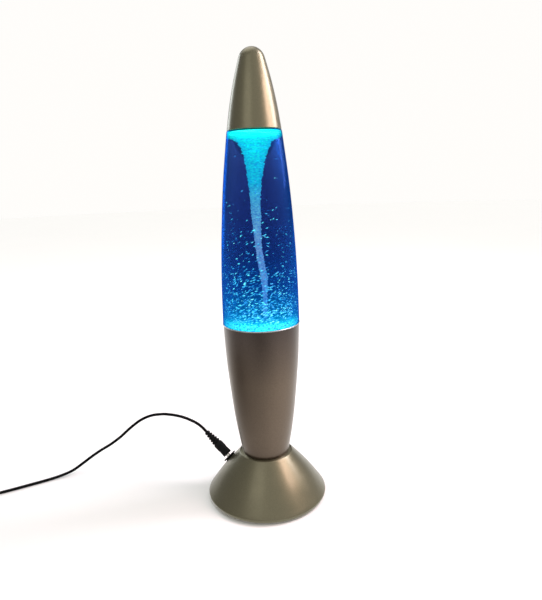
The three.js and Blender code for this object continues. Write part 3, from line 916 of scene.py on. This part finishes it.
def cap_skin():
    """Hollow rocket nose: a smooth flank that runs into a round tip."""
    rise = LAMP_HEIGHT - CAP_RIM
    tip = arc(0, LAMP_HEIGHT - NOSE_RADIUS, NOSE_RADIUS, 17, 90, 14)
    hollow = arc(0, LAMP_HEIGHT - NOSE_RADIUS, NOSE_RADIUS - CAP_WALL, 90, 17, 10)
    stations = [(radius, CAP_RIM + part * rise) for part, radius in CAP_SIDE] + [tip[0]]
    outside = [tuple(p) for p in smooth_line(stations, 36)]
    inside = [(r - CAP_WALL, z) for r, z in reversed(outside[:-1])]
    under = [(0, LAMP_HEIGHT - CAP_WALL), *hollow[1:], *inside]
    whole = [*under, *eased([inside[-1], *outside], 0.0005)[1:], *tip[1:-1], (0, LAMP_HEIGHT)]
    return turned("cap_skin", whole, champagne, 192)


fit(base_skin(), "base", "champagne_metal", "base_shell")
fit(casing_skin(), "base", "champagne_metal", "body_casing")
fit(casing_lip(), "base", "steel")
fit(cap_skin(), "nose_cap", "champagne_metal", "nose_cap")


# The bottle and what moves in it.
def bottle_skin():
    """Clear bottle: foot, tapered wall, shoulder and open neck. Its wall is a thin skin."""
    skin_wall = 0.0003
    outside = [tuple(p) for p in side(BOTTLE_RADII, CASING_TOP, TAPER_TOP, 60)]
    inside = [tuple(p) for p in side(BOTTLE_RADII, CASING_TOP, TAPER_TOP, 60, skin_wall)][::-1]
    bore = [p for p in inside if p[1] < SURFACE + 0.0003]
    outline = [
        (0, BOTTLE_FOOT),
        (INSERT_RADIUS - 0.002, BOTTLE_FOOT),
        (INSERT_RADIUS, BOTTLE_FOOT + 0.002),
        (INSERT_RADIUS, CASING_TOP + 0.0002),
        *outside,
        (0.0201, CAP_RIM),
        (0.0192, CAP_RIM + 0.004),
        (0.0154, CAP_RIM + 0.009),
        (0.011, CAP_RIM + 0.012),
        (0.011, NECK_TOP),
        (0.0086, NECK_TOP),
        (0.0086, CAP_RIM + 0.011),
        (0.0132, CAP_RIM + 0.0076),
        (0.0171, CAP_RIM + 0.003),
        (0.0186, CAP_RIM),
        *bore,
        (INSERT_RADIUS - skin_wall, CASING_TOP + 0.0004),
        (INSERT_RADIUS - skin_wall, BOTTLE_FOOT + 0.002),
        (INSERT_RADIUS - 0.002, BOTTLE_FOOT + skin_wall),
        (0, BOTTLE_FOOT + skin_wall),
    ]
    return turned("bottle_skin", eased(outline, 0.0006), clear_bottle, 160)


def liquid_body():
    """The liquid, a hair's breadth inside the bottle's wall and level on top."""
    gap = 0.0005
    outside = [tuple(p) for p in side(BOTTLE_RADII, CASING_TOP, TAPER_TOP, 60, gap)]
    outline = [
        (0, BOTTLE_FOOT + gap),
        (INSERT_RADIUS - 0.0022, BOTTLE_FOOT + gap),
        (INSERT_RADIUS - gap, BOTTLE_FOOT + 0.0022),
        (INSERT_RADIUS - gap, CASING_TOP + 0.0006),
        *[p for p in outside if p[1] < SURFACE - 0.0005],
        (0.0223, SURFACE),
        (0, SURFACE),
    ]
    return turned("liquid_body", eased(outline, 0.0006), blue_liquid, 160)


def vortex_skin():
    """The air funnel's skin: ridged, ragged and swaying, flared under the surface."""
    around = 56
    turn_rate = 260
    ridge_width = 1.1
    ridge_rate = 640
    vertices = []
    rings = []
    for height, radius, sway in smooth_line(VORTEX, 480):
        rings.append(list(range(len(vertices), len(vertices) + around)))
        for k in range(around):
            angle = 2 * math.pi * k / around
            twist = angle + height * turn_rate
            x = ridge_width * math.cos(twist)
            y = ridge_width * math.sin(twist)
            place = Vector((x, y, height * ridge_rate))
            ridge = noise.noise(place) + 0.7 * noise.noise(place * 2.1)
            reach = radius + ridge * (0.0005 + 0.1 * radius) - 0.0002
            reach = min(max(reach, 0.0006), bottle_radius(height, 0.0008))
            vertices.append(Vector((sway + reach * math.cos(angle), reach * math.sin(angle), height)))
    faces = skin_rings(rings, False) + [rings[0][::-1], rings[-1]]
    return add_mesh("vortex", vertices, faces, vortex_glow, 60)


def bottle_radius(height, inset):
    """How far from the axis the tapered wall is at that height, less the inset."""
    place = (height - CASING_TOP) / (CAP_RIM - CASING_TOP) * (len(BOTTLE_RADII) - 1)
    i = min(int(place), len(BOTTLE_RADII) - 2)
    return BOTTLE_RADII[i] + (BOTTLE_RADII[i + 1] - BOTTLE_RADII[i]) * (place - i) - inset


def glitter():
    """Flakes caught in the swirl: thick at the bottom, thinner up, each drawn out along its way."""
    chance = random.Random(7)
    length, width, depth = FLAKE_REACH
    vertices = []
    faces = []
    for low, high, count in FLAKE_ZONES:
        for _ in range(count):
            height = chance.uniform(low, high)
            outer = bottle_radius(height, 0.0026)
            radius = FLAKE_INNER + (outer - FLAKE_INNER) * math.sqrt(chance.random())
            angle = chance.uniform(0, 2 * math.pi)
            centre = Vector((radius * math.cos(angle), radius * math.sin(angle), height))
            slope = 0.3 - 0.3 * math.cos(angle) + chance.gauss(0, 0.28)
            flow = Vector((-math.sin(angle), math.cos(angle), 0))
            if flow.x < 0:
                flow.negate()
            along = (flow + Vector((0, 0, slope))).normalized()
            across = along.cross(Vector((math.cos(angle), math.sin(angle), 0))).normalized()
            through = along.cross(across)
            size = chance.uniform(0.6, 1.15)
            reach = (along * length * size, across * width * size, through * depth)
            start = len(vertices)
            for arm in reach:
                vertices += [centre + arm, centre - arm]
            for a in (0, 1):
                for b in (2, 3):
                    for c in (4, 5):
                        corners = [start + a, start + b, start + c]
                        faces.append(corners if (a + b + c) % 2 == 0 else corners[::-1])
    return add_mesh("glitter", vertices, faces, flake_glow, 30)


def glow_bed():
    """The thickest swarm, lit from right below: a low uneven heap on the bottom of the bottle."""
    steps = 48
    around = 160
    top_height = 0.1832
    side_height = 0.1782
    vertices = [Vector((0, 0, 0.1764))]
    rings = [[0] * around]
    outline = [(0.0318, 0.1766), (0.0326, 0.1775)]
    for i in range(9):
        height = side_height + 0.0006 * i
        outline.append((bottle_radius(height, 0.0017), height))
    for i in range(1, steps):
        outline.append((0.0325 * (1 - i / steps), top_height))
    for radius, height in outline:
        rings.append(list(range(len(vertices), len(vertices) + around)))
        for k in range(around):
            angle = 2 * math.pi * k / around
            spot = Vector((radius * math.cos(angle), radius * math.sin(angle), height))
            lift = 0.0011 * noise.noise(spot * 230) + 0.0008 * noise.noise(spot * 620)
            free = max(0, min(1, (height - 0.1785) / 0.003))
            vertices.append(spot + Vector((0, 0, lift * free)))
    rings.append([len(vertices)] * around)
    vertices.append(Vector((0, 0, top_height)))
    return add_mesh("glow_bed", vertices, skin_rings(rings, False), bed_glow, 60)


fit(bottle_skin(), "bottle", "clear_bottle", "bottle")
fit(liquid_body(), "bottle", "blue_liquid", "liquid")
fit(vortex_skin(), "bottle", "blue_liquid")
fit(glitter(), "bottle", "blue_liquid")
fit(glow_bed(), "bottle", "blue_liquid")


# Jack, button, feet, cover, lights and screw cap: smooth stand-ins for the faceted CAD rounds.
def jack_body():
    """Round jack with its flange on the base's skin and a deep hole for the plug."""
    outline = [
        (0, -0.012),
        (0.0054, -0.012),
        (0.0054, 0.0008),
        (0.0073, 0.0008),
        (0.0073, 0.0018),
        (0.0069, 0.0022),
        (0.0031, 0.0022),
        (0.0031, -0.009),
        (0, -0.009),
    ]
    return turned("jack_body", eased(outline, 0.0002), black_plastic, 64, jack_place)


def switch_bezel():
    """Round switch body whose raised rim surrounds the button."""
    outline = [
        (0, -0.013),
        (0.0054, -0.013),
        (0.0054, 0.0008),
        (0.0072, 0.0008),
        (0.0072, 0.0016),
        (0.0066, 0.0023),
        (0.0039, 0.0023),
        (0.0039, -0.005),
        (0, -0.005),
    ]
    return turned("switch_bezel", eased(outline, 0.0002), black_plastic, 64, button_place)


def button_top():
    """Push button with a slightly dished top."""
    outline = [(0, -0.0026), (0.0036, -0.0026), (0.0036, 0.0034), (0.0032, 0.0039), (0.002, 0.0037)]
    return turned("button_top", eased([*outline, (0, 0.0036)], 0.0002), black_plastic, 48, button_place)


def round_place(radius, degrees, height):
    """The matrix of a place on a circle round the lamp's axis."""
    angle = math.radians(degrees)
    return Matrix.Translation((radius * math.cos(angle), radius * math.sin(angle), height))


def foot(i):
    """Rubber foot with a shallow dish underneath."""
    outline = [(0, 0.0004), (0.0042, 0.0004), (0.0046, 0), (0.0056, 0), (0.006, 0.0003)]
    outline += [(0.006, FOOT_HEIGHT), (0, FOOT_HEIGHT)]
    place = round_place(SCREW_CIRCLE, 75 + 90 * i, 0)
    return turned(f"foot_round_{i + 1}", eased(outline, 0.0002), black_rubber, 48, place)


def cover_screw(i):
    """Pan-head screw with a cross recess, head down."""
    outline = [(0, -0.0011), (0.0019, -0.0011), (0.0027, -0.0006), (0.0027, 0), (0.0011, 0)]
    outline += [(0.0011, 0.0114), (0, 0.012)]
    place = round_place(SCREW_CIRCLE, 30 + 90 * i, FOOT_HEIGHT)
    thing = turned(f"cover_screw_round_{i + 1}", eased(outline, 0.0002), steel, 40, place)
    slots = []
    for size in ((0.0032, 0.0007, 0.0012), (0.0007, 0.0032, 0.0012)):
        slots.append(box_mesh("slot", size, place.translation + Vector((0, 0, -0.0011)), steel))
    cut(thing, slots)
    return thing


def cover_plate():
    """Bottom plate with a rolled edge, two shallow rings and its screw holes."""
    outline = [(0, FOOT_HEIGHT), (0.0195, FOOT_HEIGHT), (0.02, 0.0023), (0.021, 0.0023)]
    outline += [(0.0215, FOOT_HEIGHT), (0.0495, FOOT_HEIGHT), (0.05, 0.0022), (0.0508, 0.0022)]
    outline += [(0.0512, FOOT_HEIGHT), (0.0536, FOOT_HEIGHT), (0.0536, 0.004), (0, 0.004)]
    plate = turned("cover_plate", eased(outline, 0.0003), black_plastic, 160)
    holes = []
    for i in range(4):
        hole = [(0, -0.003), (0.0016, -0.003), (0.0016, 0.003), (0, 0.003)]
        place = round_place(SCREW_CIRCLE, 30 + 90 * i, FOOT_HEIGHT)
        holes.append(turned("hole", hole, black_plastic, 24, place))
    cut(plate, holes)
    return plate


def led_dome(i):
    """Clear domed lens on its collar."""
    outline = [(0, 0), (0.0025, 0), (0.0025, 0.001), (0.0019, 0.001), (0.0019, 0.0022)]
    outline += [*arc(0, 0.002, 0.0018, 10, 90, 8)[:-1], (0, 0.0038)]
    place = round_place(LED_CIRCLE, 60 * i, LED_SEAT)
    return turned(f"led_dome_{i + 1}", outline, led_lens, 32, place)


def bottle_lid():
    """Screw cap of the bottle with ribs round its skirt."""
    ribs = 36
    outline = [
        (0, NECK_TOP + 0.0012),
        (0.0115, NECK_TOP + 0.0012),
        (0.0115, NECK_TOP - 0.009),
        (0.0128, NECK_TOP - 0.009),
        (0.0128, NECK_TOP + 0.002),
        (0.0122, NECK_TOP + 0.0028),
        (0, NECK_TOP + 0.0028),
    ]
    lid = turned("bottle_lid", eased(outline, 0.0002), white_plastic, 180)
    for vertex in lid.data.vertices:
        out = Vector((vertex.co.x, vertex.co.y, 0))
        if out.length > 0.0124 and vertex.co.z < NECK_TOP + 0.0015:
            ripple = 0.0002 * (1 + math.cos(ribs * math.atan2(out.y, out.x))) / 2
            vertex.co += out.normalized() * ripple
    return lid


fit(jack_body(), "base", "black_plastic", "dc_jack")
fit(switch_bezel(), "base", "black_plastic", "switch_body")
fit(button_top(), "power_button", "black_plastic", "power_button")
fit(cover_plate(), "base", "black_plastic", "bottom_cover")
fit(bottle_lid(), "bottle", "white_plastic", "bottle_cap")
for i in range(4):
    fit(foot(i), "base", "black_rubber", f"foot_{i + 1}")
    fit(cover_screw(i), "base", "steel", f"cover_screw_{i + 1}")
for i in range(6):
    fit(led_dome(i), "base", "led_lens", f"led_{i + 1}")

# Finishes for the CAD nodes that keep their own shape.
KEPT = {
    "control_board": green_board,
    "led_board": green_board,
    "tie_tube": steel,
    "tie_nut_lower": steel,
    "tie_washer": steel,
    "tie_nut_upper": steel,
    "loom": black_plastic,
    "motor_bracket": white_plastic,
    "motor_can": steel,
    "motor_shaft": steel,
    "magnet_carrier": black_plastic,
    "bottle_seat": black_rubber,
    "stirrer": white_plastic,
    "stirrer_axle": steel,
    "bottle_gasket": black_rubber,
    "dc_jack_pin": brass,
    "dc_jack_nut": nickel,
    "switch_nut": nickel,
}
for name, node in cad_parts.items():
    material = KEPT.get(name)
    if name.startswith(("motor_screw", "board_screw")):
        material = steel
    if "magnet_" in name and name != "magnet_carrier":
        material = nickel
    if material:
        node.data.materials.clear()
        node.data.materials.append(material)
        round_edges(node, 0.0002)
